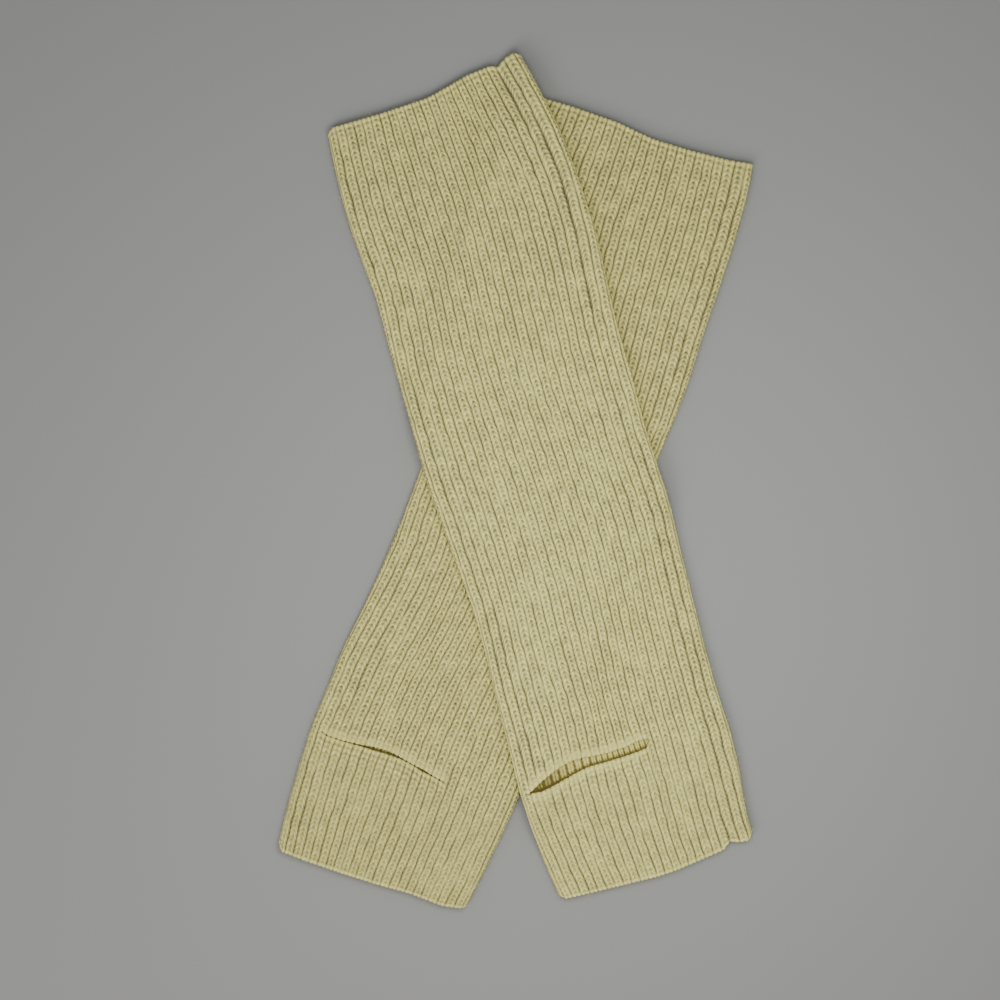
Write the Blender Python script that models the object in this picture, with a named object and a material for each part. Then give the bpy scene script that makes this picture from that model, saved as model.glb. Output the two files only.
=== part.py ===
# A pair of rib-knit leg warmers, laid flat and crossed on a surface.
#
# Each leg warmer is a knitted tube pressed flat: a front panel lies on a back panel, and the two
# meet at the folds along its sides. Ribs run from the top hem to the foot hem. They are raised on
# the front and round the folds, over a plain inside, and the underside rests flat. A heel slit is
# cut through the front panel near the foot. The upper leg warmer lies across the lower one and
# comes down to the surface on both sides of it. Its panels end at a course above its heel slit, and
# a heel part of each goes on from there to the foot, so that the slit has simple walls round it.
#
# X points right, Y points away from the feet and Z points up. The origin is on the surface, in the
# middle of the pair.

import bmesh
import bpy
import numpy as np

# The cloth.
RIBS = 24
LEG_HEIGHT = 0.0060
WALL = 0.0028
RIB_DEPTH = 0.0009
SHOULDER = 0.24
FOLD_RADIUS = LEG_HEIGHT / 2
FOLD_POCKET = 0.00035
SCALLOP = 0.0006
SEAM_GAP = 0.0003
SEAM_DIP = 0.0005

# How the upper leg warmer lies on the lower one.
REST_GAP = 0.0003
FULL_LIFT_REACH = 0.0060
SLOPE_WIDTH = 0.022

# The heel slit's lips.
LIP_ROLL = 0.0005
LIP_BAND = 0.0032

# How finely the solids are divided, and the angle from which an edge looks sharp.
FOLD_STEPS = 3
PANEL_STEPS = 12
SHARP_ANGLE = np.radians(50)

# One row for each section of a leg: how far it is along the leg from the top hem, and where the
# leg's left and right edges are, measured across from the leg's own axis.
UPPER_SECTIONS = {
    "columns": ("along", "left", "right"),
    "rows": (
        (-0.008, -0.0572, 0.0566),
        (0.006, -0.0582, 0.0596),
        (0.022, -0.0597, 0.0629),
        (0.040, -0.0609, 0.0662),
        (0.060, -0.0613, 0.0681),
        (0.080, -0.0602, 0.0690),
        (0.100, -0.0588, 0.0694),
        (0.120, -0.0592, 0.0680),
        (0.150, -0.0600, 0.0661),
        (0.180, -0.0602, 0.0659),
        (0.212, -0.0607, 0.0646),
        (0.235, -0.0592, 0.0650),
        (0.260, -0.0579, 0.0657),
        (0.286, -0.0562, 0.0642),
        (0.312, -0.0568, 0.0630),
        (0.340, -0.0583, 0.0617),
        (0.366, -0.0594, 0.0612),
        (0.388, -0.0606, 0.0621),
        (0.411, -0.0600, 0.0607),
        (0.433, -0.0583, 0.0578),
        (0.455, -0.0552, 0.0570),
    ),
}
LOWER_SECTIONS = {
    "columns": ("along", "left", "right"),
    "rows": (
        (-0.004, -0.0628, 0.0628),
        (0.011, -0.0640, 0.0657),
        (0.027, -0.0648, 0.0672),
        (0.045, -0.0654, 0.0685),
        (0.068, -0.0650, 0.0693),
        (0.095, -0.0638, 0.0696),
        (0.128, -0.0612, 0.0712),
        (0.153, -0.0588, 0.0705),
        (0.180, -0.0555, 0.0690),
        (0.205, -0.0522, 0.0680),
        (0.228, -0.0514, 0.0673),
        (0.255, -0.0520, 0.0664),
        (0.282, -0.0538, 0.0653),
        (0.306, -0.0558, 0.0642),
        (0.331, -0.0588, 0.0630),
        (0.354, -0.0600, 0.0620),
        (0.378, -0.0611, 0.0612),
        (0.402, -0.0598, 0.0594),
        (0.424, -0.0582, 0.0570),
        (0.447, -0.0556, 0.0540),
    ),
}

# How far each hem stands below the leg's nominal end, by rib counted from the left fold.
UPPER_HEMS = {
    "columns": ("rib", "top", "foot"),
    "rows": (
        (0, 0.0062, -0.0004),
        (1, 0.0036, 0.0028),
        (7, 0.0040, 0.0036),
        (12, 0.0036, 0.0044),
        (14, 0.0012, 0.0038),
        (17, -0.0026, 0.0020),
        (20, -0.0046, 0.0006),
        (21, -0.0036, -0.0016),
        (22, -0.0066, 0.0002),
        (23, -0.0078, 0.0008),
        (24, -0.0050, -0.0026),
    ),
}
LOWER_HEMS = {
    "columns": ("rib", "top", "foot"),
    "rows": (
        (0, 0.0040, 0.0004),
        (1, 0.0036, 0.0040),
        (4, 0.0024, 0.0044),
        (9, 0.0020, 0.0050),
        (13, 0.0040, 0.0046),
        (17, 0.0028, 0.0028),
        (21, 0.0006, 0.0020),
        (23, -0.0014, -0.0010),
        (24, -0.0020, -0.0026),
    ),
}

# The lips of each heel slit, by rib: how far each is along the leg.
UPPER_SLIT = {
    "columns": ("rib", "upper_lip", "lower_lip"),
    "rows": (
        (0, 0.3905, 0.3917),
        (1.76, 0.3890, 0.3902),
        (2.6, 0.3858, 0.3914),
        (5, 0.3803, 0.3890),
        (6.6, 0.3784, 0.3872),
        (8, 0.3790, 0.3858),
        (10, 0.3803, 0.3855),
        (12.4, 0.3803, 0.3848),
        (14, 0.3795, 0.3838),
        (15.24, 0.3808, 0.3824),
        (24, 0.3840, 0.3852),
    ),
}
LOWER_SLIT = {
    "columns": ("rib", "upper_lip", "lower_lip"),
    "rows": (
        (0, 0.3748, 0.3760),
        (1.24, 0.3762, 0.3774),
        (2, 0.3776, 0.3788),
        (4, 0.3772, 0.3786),
        (7, 0.3756, 0.3774),
        (9, 0.3746, 0.3766),
        (10.5, 0.3752, 0.3768),
        (12, 0.3766, 0.3779),
        (15, 0.3792, 0.3805),
        (16.76, 0.3812, 0.3824),
        (24, 0.3830, 0.3842),
    ),
}

# Each leg warmer: its nominal length, where its top hem's middle lies, how far its axis turns from
# the -Y direction towards +X, how many ribs of the front belong to the back panel that is folded
# over its right edge, between which ribs its slit is open, how many sections the solid has, and
# at which of them its heel part starts, if it has one.
LEGS = {
    "upper": {
        "length": 0.450,
        "top_middle": (-0.05099, 0.21486),
        "turn": np.radians(16.6),
        "wrapped_ribs": 3,
        "slit_ribs": (1.76, 15.24),
        "sections": UPPER_SECTIONS,
        "hems": UPPER_HEMS,
        "slit": UPPER_SLIT,
        "rows_above_slit": 22,
        "rows_below_slit": 4,
        "heel_row": 19,
    },
    "lower": {
        "length": 0.4425,
        "top_middle": (0.07231, 0.19516),
        "turn": np.radians(-20.05),
        "wrapped_ribs": 0,
        "slit_ribs": (1.24, 16.76),
        "sections": LOWER_SECTIONS,
        "hems": LOWER_HEMS,
        "slit": LOWER_SLIT,
        "rows_above_slit": 16,
        "rows_below_slit": 4,
        "heel_row": None,
    },
}

KNIT_COLOURS = {
    "upper": (0.445, 0.405, 0.225, 1.0),
    "lower": (0.430, 0.392, 0.215, 1.0),
}
KNIT_ROUGHNESS = 0.92


def remove_everything():
    for item in list(bpy.data.objects):
        bpy.data.objects.remove(item)


def read_table(table, column, places):
    """Read a column at the given places of the table's first column."""
    rows = np.array(table["rows"])
    return np.interp(places, rows[:, 0], rows[:, table["columns"].index(column)])


def ease(amount):
    """Go smoothly from 0 to 1."""
    amount = np.clip(amount, 0.0, 1.0)
    return amount * amount * (3.0 - 2.0 * amount)


def to_world(leg, along, across):
    """Turn places on a leg into X and Y."""
    turn = leg["turn"]
    x = leg["top_middle"][0] + along * np.sin(turn) + across * np.cos(turn)
    y = leg["top_middle"][1] - along * np.cos(turn) + across * np.sin(turn)
    return x, y


def to_leg(leg, x, y):
    """Turn X and Y into places on a leg."""
    turn = leg["turn"]
    dx = x - leg["top_middle"][0]
    dy = y - leg["top_middle"][1]
    return dx * np.sin(turn) - dy * np.cos(turn), dx * np.cos(turn) + dy * np.sin(turn)


def lift_over_lower_leg(x, y):
    """The height of the upper leg's underside: full on the lower leg, none away from it."""
    lower = LEGS["lower"]
    along, across = to_leg(lower, x, y)
    left = read_table(lower["sections"], "left", along)
    right = read_table(lower["sections"], "right", along)
    outside = np.maximum.reduce([left - across, across - right, -along, along - lower["length"]])
    slope = ease((outside - FULL_LIFT_REACH) / SLOPE_WIDTH)
    return (LEG_HEIGHT + REST_GAP) * (1.0 - slope)


def row_curves(leg, ribs, scallop=0.0):
    """How far along the leg each row of points is, at each rib place. Rows follow the courses.

    The hems' outer points stand out by the scallop.
    """
    top = read_table(leg["hems"], "top", ribs) - scallop
    foot = leg["length"] + read_table(leg["hems"], "foot", ribs) + scallop
    upper_lip = read_table(leg["slit"], "upper_lip", ribs)
    lower_lip = read_table(leg["slit"], "lower_lip", ribs)
    rows = [top + (upper_lip - LIP_BAND - top) * share
            for share in np.linspace(0.0, 1.0, leg["rows_above_slit"])]
    rows.append(upper_lip)
    rows += [lower_lip + (foot - lower_lip) * share
             for share in np.linspace(0.0, 1.0, leg["rows_below_slit"] + 1)]
    return np.array(rows)


def groove_depth(leg, ribs):
    """How far each place lies below the ribs' tops: only in a groove, and deeper at the seam.

    A leg's edges are on a rib, so they have no groove.
    """
    in_groove = np.isclose(ribs, np.round(ribs)) & (ribs > 0) & (ribs < RIBS)
    at_seam = np.isclose(ribs, RIBS - leg["wrapped_ribs"]) & (leg["wrapped_ribs"] > 0)
    return in_groove * RIB_DEPTH + at_seam * SEAM_DIP


def face_shape(width, ribs, depth):
    """A leg's upper face, from the middle of its left fold to the middle of its right one.

    Returns how far from the left edge and how high each place is.
    """
    quarter = FOLD_RADIUS * np.pi / 2
    whole = width - 2 * FOLD_RADIUS + 2 * quarter
    path = ribs / RIBS * whole
    from_left = np.clip(path, 0.0, quarter) / FOLD_RADIUS
    from_right = np.clip(whole - path, 0.0, quarter) / FOLD_RADIUS
    angle = np.minimum(from_left, from_right)
    side = np.where(from_left < from_right, -1.0, 1.0)
    flat = np.clip(path - quarter, 0.0, width - 2 * FOLD_RADIUS)
    radius = FOLD_RADIUS - depth
    return FOLD_RADIUS + flat + side * radius * np.cos(angle), FOLD_RADIUS + radius * np.sin(angle)


def ribbed_face(leg, width, ribs):
    """The raised ribs, with the slit's upper lip rolled up in place of them."""
    depth = np.tile(groove_depth(leg, ribs), (len(width), 1))
    first, last = leg["slit_ribs"]
    depth[leg["rows_above_slit"], (ribs >= first) & (ribs <= last)] = -LIP_ROLL
    return face_shape(width, ribs, depth)


def plain_underside(leg, width, ribs):
    across, height = face_shape(width, ribs, np.zeros(width.shape))
    return across, LEG_HEIGHT - height


def plain_inside(side):
    """The inside of the front panel (side 1) or of the back panel (side -1)."""
    def shape(leg, width, ribs):
        across, height = face_shape(width, ribs, np.zeros(width.shape))
        across = np.clip(across, WALL, width - WALL)
        on_fold = (ribs == 0) | (ribs == RIBS)
        by_fold = (ribs == 1) | (ribs == RIBS - 1)
        room = np.where(on_fold, 0.0, LEG_HEIGHT / 2 - WALL) + by_fold * FOLD_POCKET
        return across, np.broadcast_to(FOLD_RADIUS + side * room, width.shape)
    return shape


def chain(name, ribs, shape, scallop=0.0):
    """A grid of points: a row of places, by rib, at each section of a leg."""
    leg = LEGS[name]
    along = row_curves(leg, ribs, scallop)
    left = read_table(leg["sections"], "left", along)
    right = read_table(leg["sections"], "right", along)
    across, height = shape(leg, right - left, ribs)
    return np.stack([along, left + across, height], axis=-1)


def ribbed_chain(name, first, last):
    """The ribbed face between two ribs: a groove and two shoulders for each rib."""
    places = [rib + part for rib in range(RIBS + 1) for part in (0.0, SHOULDER, 1 - SHOULDER)]
    ribs = np.array([place for place in places if first <= place <= last])
    on_shoulder = ~np.isclose(ribs, np.round(ribs))
    return ribs, chain(name, ribs, ribbed_face, on_shoulder * SCALLOP)


def inside_chain(name, side, first, last):
    """A panel's plain inside between two ribs, with a point at each end of the slit."""
    places = {first, 1, *range(3, RIBS - 2, 2), RIBS - 1, last, *LEGS[name]["slit_ribs"]}
    ribs = np.array(sorted(place for place in places if first <= place <= last), dtype=float)
    return ribs, chain(name, ribs, plain_inside(side))


def underside_chain(name):
    """The plain underside, with the folds' lower quarters."""
    fold = np.linspace(0.0, 1.0, FOLD_STEPS + 1)
    flat = np.linspace(1.0, RIBS - 1.0, PANEL_STEPS)[1:-1]
    ribs = np.concatenate([fold, flat, RIBS - fold[::-1]])
    return ribs, chain(name, ribs, plain_underside)


def front_panel(name):
    """The front's outer and inner chains, from its left fold to its right end."""
    end = RIBS - LEGS[name]["wrapped_ribs"]
    outer_ribs, outer = ribbed_chain(name, 0, end)
    inner_ribs, inner = inside_chain(name, 1, 0, end)
    for points in (outer, inner):
        points[:, 0, 2] += SEAM_GAP / 2
        if end < RIBS:
            points[:, -1, 1] -= SEAM_GAP / 2
        else:
            points[:, -1, 2] += SEAM_GAP / 2
    return outer_ribs, outer, inner_ribs, inner


def back_panel(name):
    """The back's outer and inner chains. The ribs that it wraps over the right fold come last."""
    outer_ribs, outer = underside_chain(name)
    inner_ribs, inner = inside_chain(name, -1, 0, RIBS)
    for points in (outer, inner):
        points[:, 0, 2] -= SEAM_GAP / 2
    wrapped = LEGS[name]["wrapped_ribs"]
    if wrapped == 0:
        outer[:, -1, 2] -= SEAM_GAP / 2
        inner[:, -1, 2] -= SEAM_GAP / 2
        return outer_ribs, outer, inner_ribs, inner
    face_ribs, face = ribbed_chain(name, RIBS - wrapped, RIBS)
    lining_ribs, lining = inside_chain(name, 1, RIBS - wrapped, RIBS)
    face[:, 0, 1] += SEAM_GAP / 2
    lining[:, 0, 1] += SEAM_GAP / 2
    outer = np.concatenate([outer, face[:, -2::-1]], axis=1)
    outer_ribs = np.concatenate([outer_ribs, 2 * RIBS - face_ribs[-2::-1]])
    inner = np.concatenate([inner, lining[:, -2::-1]], axis=1)
    inner_ribs = np.concatenate([inner_ribs, 2 * RIBS - lining_ribs[-2::-1]])
    return outer_ribs, outer, inner_ribs, inner


def zip_faces(first, first_places, second, second_places):
    """Triangles between two lines of points, each stepping on where its next place is nearer."""
    faces = []
    one = 0
    two = 0
    while one < len(first) - 1 or two < len(second) - 1:
        more_one = one < len(first) - 1
        more_two = two < len(second) - 1
        if more_one and (not more_two or first_places[one + 1] <= second_places[two + 1]):
            faces.append((first[one], first[one + 1], second[two]))
            one += 1
        else:
            faces.append((first[one], second[two + 1], second[two]))
            two += 1
    return faces


def quad_triangles(corners, first_rib, next_rib):
    """Two triangles that meet along the line from the lower rib down to the higher one."""
    one, two, three, four = corners
    if first_rib <= next_rib:
        return [(one, two, three), (one, three, four)]
    return [(one, two, four), (two, three, four)]


def panel_faces(outer_ribs, inner_ribs, rows, slit_ribs, slit_row):
    """Faces of a closed panel, with the slit, if it has one, cut through it below the slit's row."""
    count = len(outer_ribs) + len(inner_ribs)
    numbers = np.arange(rows * count).reshape(rows, count)
    outer = numbers[:, :len(outer_ribs)]
    inner = numbers[:, len(outer_ribs):]
    ring = np.concatenate([outer, inner[:, ::-1]], axis=1)
    ring_ribs = np.concatenate([outer_ribs, inner_ribs[::-1]])
    true_ribs = RIBS - abs(RIBS - ring_ribs)
    faces = []
    for row in range(rows - 1):
        for place in range(count):
            after = (place + 1) % count
            low, high = sorted((ring_ribs[place], ring_ribs[after]))
            same_side = (place < len(outer_ribs)) == (after < len(outer_ribs))
            if row == slit_row and same_side and low >= slit_ribs[0] and high <= slit_ribs[1]:
                continue
            corners = (ring[row, place], ring[row, after],
                       ring[row + 1, after], ring[row + 1, place])
            faces += quad_triangles(corners, true_ribs[place], true_ribs[after])
    for row in (0, rows - 1):
        faces += zip_faces(outer[row], outer_ribs, inner[row], inner_ribs)
    if slit_row is not None:
        in_outer = (outer_ribs >= slit_ribs[0]) & (outer_ribs <= slit_ribs[1])
        in_inner = (inner_ribs >= slit_ribs[0]) & (inner_ribs <= slit_ribs[1])
        for row in (slit_row, slit_row + 1):
            faces += zip_faces(outer[row, in_outer], outer_ribs[in_outer],
                               inner[row, in_inner], inner_ribs[in_inner])
        for tip in (0, -1):
            outside = outer[slit_row:slit_row + 2, in_outer][:, tip]
            inside = inner[slit_row:slit_row + 2, in_inner][:, tip]
            faces += quad_triangles((outside[0], outside[1], inside[1], inside[0]), 0, 1)
    return faces


def place_points(name, points):
    """Turn a leg's points into world points. The upper leg is lifted over the lower one."""
    x, y = to_world(LEGS[name], points[..., 0], points[..., 1])
    lift = lift_over_lower_leg(x, y) if name == "upper" else 0.0
    return np.stack([x, y, points[..., 2] + lift], axis=-1)


def knit_material(name):
    material = bpy.data.materials.new(name + "_knit")
    material.use_nodes = True
    shader = material.node_tree.nodes["Principled BSDF"]
    shader.inputs["Base Color"].default_value = KNIT_COLOURS[name]
    shader.inputs["Roughness"].default_value = KNIT_ROUGHNESS
    shader.inputs["Metallic"].default_value = 0.0
    material.diffuse_color = KNIT_COLOURS[name]
    return material


def panel_parts(name, panel):
    """The parts that a panel is made in, as name ending, points and number of the first row."""
    outer_ribs, outer, inner_ribs, inner = panel
    points = np.concatenate([outer, inner], axis=1)
    heel_row = LEGS[name]["heel_row"]
    if heel_row is None:
        return [("", points, 0)]
    heel = points[heel_row:].copy()
    heel[0, :, 0] += SEAM_GAP
    return [("", points[:heel_row + 1], 0), ("_heel", heel, heel_row)]


def add_panel(name, side, panel, material):
    """Make one panel's solids."""
    leg = LEGS[name]
    outer_ribs, _, inner_ribs, _ = panel
    for ending, points, first_row in panel_parts(name, panel):
        slit_row = leg["rows_above_slit"] - first_row
        if side == "back" or slit_row >= len(points):
            slit_row = None
        faces = panel_faces(outer_ribs, inner_ribs, len(points), leg["slit_ribs"], slit_row)
        add_solid(f"{name}_{side}{ending}", place_points(name, points), faces, material)


def add_solid(node, points, faces, material):
    mesh = bpy.data.meshes.new(node)
    mesh.from_pydata(points.reshape(-1, 3).tolist(), [], [tuple(map(int, face)) for face in faces])
    shape = bmesh.new()
    shape.from_mesh(mesh)
    bmesh.ops.recalc_face_normals(shape, faces=shape.faces)
    shape.to_mesh(mesh)
    shape.free()
    mesh.shade_smooth()
    mesh.set_sharp_from_angle(angle=SHARP_ANGLE)
    mesh.materials.append(material)
    solid = bpy.data.objects.new(node, mesh)
    bpy.context.scene.collection.objects.link(solid)


def main():
    remove_everything()
    for name in LEGS:
        material = knit_material(name)
        add_panel(name, "front", front_panel(name), material)
        add_panel(name, "back", back_panel(name), material)


main()
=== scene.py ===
# The looks of a pair of rib-knit leg warmers, laid flat and crossed, seen from straight above.
#
# Each leg warmer is one knitted tube pressed flat. Its cloth is a closed shell: an outer side with
# every stitch raised on it where it shows, a plain inner side, and rounded hems and slit lips that
# join the two. The back's inside shows through each slit, and loose fibres stand off the yarn.
#
# Ribs are counted round the tube from the middle of its left fold: 24 across the front and 24 back
# across the underside. Courses, the rows of stitches, are counted from the top hem. Along and across
# are metres on a leg, from the middle of its top hem. X points right, Y away from the feet, Z up.

import bpy
import numpy as np
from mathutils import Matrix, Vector


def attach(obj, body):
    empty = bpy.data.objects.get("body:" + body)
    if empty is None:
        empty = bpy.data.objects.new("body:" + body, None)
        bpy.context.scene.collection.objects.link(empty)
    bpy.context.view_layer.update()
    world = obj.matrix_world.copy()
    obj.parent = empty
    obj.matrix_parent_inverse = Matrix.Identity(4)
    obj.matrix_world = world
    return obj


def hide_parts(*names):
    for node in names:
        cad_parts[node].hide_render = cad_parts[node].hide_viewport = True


# The cloth and how the upper leg warmer lies on the lower one, as in the solids.
RIBS = 24
LEG_HEIGHT = 0.0060
WALL = 0.0028
FOLD_RADIUS = LEG_HEIGHT / 2
FOLD_FLATTENING = 0.5
REST_GAP = 0.0003
FULL_LIFT_REACH = 0.0060
SLOPE_WIDTH = 0.022

# The ribs. A shade is an amount of painted shade: how much darker the colour is made where a form
# shades its place, on the way from the crests' colour to the painted shade colour. The roundness is
# the power that rounds off crests, stitches and loops.
RIB_DEPTH = 0.0019
UNDERSIDE_DEPTH = 0.0012
DEEPEST = 0.0024
CREST_POWER = (3.9, 2.2)
GROOVE_UNEVENNESS = 0.38
GROOVE_SHADE = 1.1
GROOVE_COURSES = 3
ROUNDNESS = 0.7
SEAM_DEPTH = 0.0007
SEAM_REACH = 0.3
RIB_WANDER = 0.060
WANDER_COURSES = 2

# The stitches. A strand is one slanting half of a stitch. It drops by so many courses on its way
# from the rib's middle to its edge, and the furrow over it fades out on the way. A pit is the
# small hole under each stitch's tip. Pits, furrows and the rib's middle get painted shade, the
# arms beside the middle a painted highlight. On the foot, stitches show less than on the leg,
# and the foot's colour is a little darker.
STRAND_HEIGHT = 0.00028
STRAND_DROP = 1.25
STRAND_BOW = 1.6
SLANT_COURSES = 2.5
FURROW_REACH = (0.20, 0.55)
FURROW_SHADE = 0.16
MIDDLE_REACH = 0.30
MIDDLE_DIP = 0.00028
MIDDLE_SHADE = 0.18
PIT_DEPTH = 0.00068
PIT_SHADE = 0.26
PIT_REACH = 0.32
PIT_PHASE = 0.10
PIT_SPAN = 0.25
PIT_RANGE = (0.55, 1.20)
PIT_ASTRAY = 0.09
ARM_PLACE = 0.52
ARM_REACH = 0.26
# The painted highlight on the arms: the rest of the crest gets this much painted shade.
PAINTED_ARM_HIGHLIGHT = 0.32
STITCH_UNEVENNESS = 0.30
STITCH_SHADE = 0.09
COURSE_UNEVENNESS = 0.14
FOOT_PITS = 0.50
FOOT_CONTRAST = 0.80
FOOT_SHADE = 0.12
FOOT_COURSES = 4.0

# Hems and lips. Each has a smooth band along it, which starts to fade at a share of its width.
EDGE_ROUND = 0.0018
LIP_ROUND = 0.0008
INNER_SETBACK = 0.0006
SCALLOP = 0.00045
LIP_SCALLOP = 0.0005
LIP_SCALLOP_REACH = 0.0012
HEM_BAND = 0.0017
HEM_FADE = 0.5
HEM_FLATTENING = 0.5
HEM_PALER = 0.5
LIP_FADE = 0.4
LIP_FLATTENING = 0.84
LIP_PALER = 0.75
LIP_ROLL = 0.0006
LOWER_LIP_ROLL = 0.3
ROLL_FADE = 0.2
LIP_COURSES = 4.5
# The bands get less painted groove shade; the lip bands a darker colour, with painted shade between
# their loops.
LIP_SHADE = 0.18
LOOP_SHADE = 0.16
TIP_RIBS = 0.6

# How far the corners of the tables' columns are rounded off: in metres along the leg for its edges
# and for the lift, and in ribs for its hems and lips.
EDGE_SOFTNESS = 0.006
LIFT_SOFTNESS = 0.010
HEM_SOFTNESS = 0.12
LIP_SOFTNESS = 0.45

# Where the mesh has its lines: within a rib, within a course, and how far round the folds the
# finely divided part goes before the plainer underside starts.
RIB_LINES = (0.0, 0.1, 0.25, 0.4, 0.5, 0.6, 0.75, 0.9)
UNDERSIDE_LINES = (0.0, 0.25, 0.5, 0.75)
COURSE_LINES = (0.0, 0.13, 0.38, 0.62, 0.87)
FINE_REACH = 1.5

# Each leg's random series, and the number that is added to its seed.
SEED = 20
SERIES = {"slant": 1, "wander": 2, "gape": 3, "strand": 4, "groove": 5, "pit": 6, "astray": 7,
          "fibres": 8}

# What the columns of each leg's tables hold. Those of the sway are ribs.
COLUMNS = {
    "sections": ("along", "left", "right"),
    "hems": ("rib", "top", "foot"),
    "slit": ("rib", "upper_lip", "lower_lip", "overhang"),
    "sway": ("along", 2, 6, 10, 14, 18, 21, 23),
}

# One row for each section of a leg: how far it is along the leg from the top hem, and where the
# leg's left and right edges are, measured across from the leg's own axis.
UPPER_SECTIONS = (
    (-0.008, -0.0572, 0.0566),
    (0.006, -0.0582, 0.0596),
    (0.022, -0.0597, 0.0629),
    (0.040, -0.0609, 0.0662),
    (0.060, -0.0613, 0.0681),
    (0.080, -0.0602, 0.0690),
    (0.100, -0.0588, 0.0694),
    (0.120, -0.0592, 0.0680),
    (0.150, -0.0600, 0.0661),
    (0.180, -0.0602, 0.0659),
    (0.212, -0.0607, 0.0646),
    (0.235, -0.0592, 0.0650),
    (0.260, -0.0579, 0.0657),
    (0.286, -0.0562, 0.0642),
    (0.312, -0.0568, 0.0630),
    (0.340, -0.0583, 0.0617),
    (0.366, -0.0594, 0.0612),
    (0.388, -0.0606, 0.0621),
    (0.411, -0.0600, 0.0607),
    (0.433, -0.0583, 0.0578),
    (0.455, -0.0552, 0.0570),
)
LOWER_SECTIONS = (
    (-0.004, -0.0628, 0.0628),
    (0.011, -0.0640, 0.0657),
    (0.027, -0.0648, 0.0672),
    (0.045, -0.0654, 0.0685),
    (0.068, -0.0650, 0.0693),
    (0.095, -0.0638, 0.0696),
    (0.128, -0.0612, 0.0712),
    (0.153, -0.0588, 0.0705),
    (0.180, -0.0555, 0.0690),
    (0.205, -0.0529, 0.0680),
    (0.228, -0.0528, 0.0673),
    (0.255, -0.0533, 0.0664),
    (0.282, -0.0547, 0.0653),
    (0.306, -0.0567, 0.0642),
    (0.331, -0.0595, 0.0630),
    (0.354, -0.0600, 0.0620),
    (0.378, -0.0611, 0.0612),
    (0.402, -0.0598, 0.0594),
    (0.424, -0.0582, 0.0570),
    (0.447, -0.0556, 0.0540),
)

# How far each hem stands below the leg's nominal end, by rib.
UPPER_HEMS = (
    (0, 0.0062, -0.0004),
    (1, 0.0036, 0.0028),
    (7, 0.0038, 0.0044),
    (12, 0.0029, 0.0056),
    (14, 0.0008, 0.0052),
    (17, -0.0028, 0.0036),
    (20, -0.0042, 0.0018),
    (20.8, -0.0018, -0.0012),
    (21, -0.0034, -0.0016),
    (22, -0.0062, 0.0002),
    (23, -0.0072, 0.0008),
    (24, -0.0050, -0.0026),
)
LOWER_HEMS = (
    (0, 0.0040, 0.0014),
    (1, 0.0036, 0.0056),
    (4, 0.0024, 0.0060),
    (9, 0.0020, 0.0055),
    (13, 0.0040, 0.0046),
    (17, 0.0028, 0.0031),
    (21, 0.0006, 0.0034),
    (23, -0.0014, 0.0013),
    (24, -0.0020, -0.0006),
)

# The lips of each heel slit, by rib: how far each is along the leg, and how far the upper one's
# rolled edge hangs over the slit.
UPPER_SLIT = (
    (0, 0.3905, 0.3917, 0.0),
    (1.76, 0.3890, 0.3902, 0.0),
    (2.6, 0.3858, 0.3914, 0.0002),
    (5, 0.3803, 0.3890, 0.0008),
    (6.6, 0.3784, 0.3872, 0.0012),
    (8, 0.3790, 0.3858, 0.0010),
    (10, 0.3803, 0.3861, 0.0009),
    (12.4, 0.3802, 0.3860, 0.0009),
    (14, 0.3788, 0.3855, 0.0008),
    (15.24, 0.3797, 0.3841, 0.0),
    (24, 0.3840, 0.3852, 0.0),
)
LOWER_SLIT = (
    (0, 0.3748, 0.3760, 0.0),
    (1.24, 0.3762, 0.3774, 0.0),
    (2, 0.3776, 0.3788, 0.0008),
    (4, 0.3772, 0.3786, 0.0009),
    (6, 0.3761, 0.3778, 0.0007),
    (7, 0.3756, 0.3777, 0.0001),
    (9, 0.3746, 0.3770, 0.0001),
    (10.5, 0.3752, 0.3768, 0.0007),
    (12, 0.3766, 0.3779, 0.0008),
    (13.2, 0.3777, 0.3796, 0.0001),
    (14.2, 0.3785, 0.3798, 0.0008),
    (15, 0.3792, 0.3805, 0.0008),
    (16.76, 0.3812, 0.3824, 0.0),
    (24, 0.3830, 0.3842, 0.0),
)

# How far some ribs have slid to the right, in rib widths, at places along the leg.
UPPER_SWAY = (
    (0.000, 0.33, 0.35, 0.15, -0.10, -0.67, -0.50, 0.00),
    (0.030, 0.28, 0.30, 0.10, -0.10, -0.50, -0.35, 0.08),
    (0.060, 0.20, 0.20, 0.06, -0.10, -0.35, -0.28, 0.10),
    (0.080, 0.17, 0.15, -0.10, -0.28, -0.30, -0.25, 0.05),
    (0.099, 0.04, 0.00, -0.30, -0.60, -0.50, -0.40, -0.20),
    (0.145, -0.37, -0.35, -0.50, -0.50, -0.50, -0.60, -0.50),
    (0.175, -0.35, -0.30, -0.42, -0.60, -0.75, -0.75, -0.70),
    (0.214, -0.17, 0.04, 0.00, -0.15, -0.40, -0.50, -0.50),
    (0.271, -0.38, -0.30, -0.30, -0.25, -0.40, -0.45, -0.40),
    (0.314, -0.75, -0.54, -0.40, -0.40, -0.60, -0.55, -0.40),
    (0.357, -0.54, -0.20, -0.04, -0.60, -0.60, -0.55, -0.40),
    (0.397, -0.54, -0.40, -0.50, -0.30, -0.70, -0.60, -0.50),
    (0.430, -0.30, -0.22, -0.25, -0.25, -0.45, -0.30, -0.05),
    (0.450, -0.20, -0.18, -0.20, -0.25, -0.35, -0.05, 0.15),
)
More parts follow.
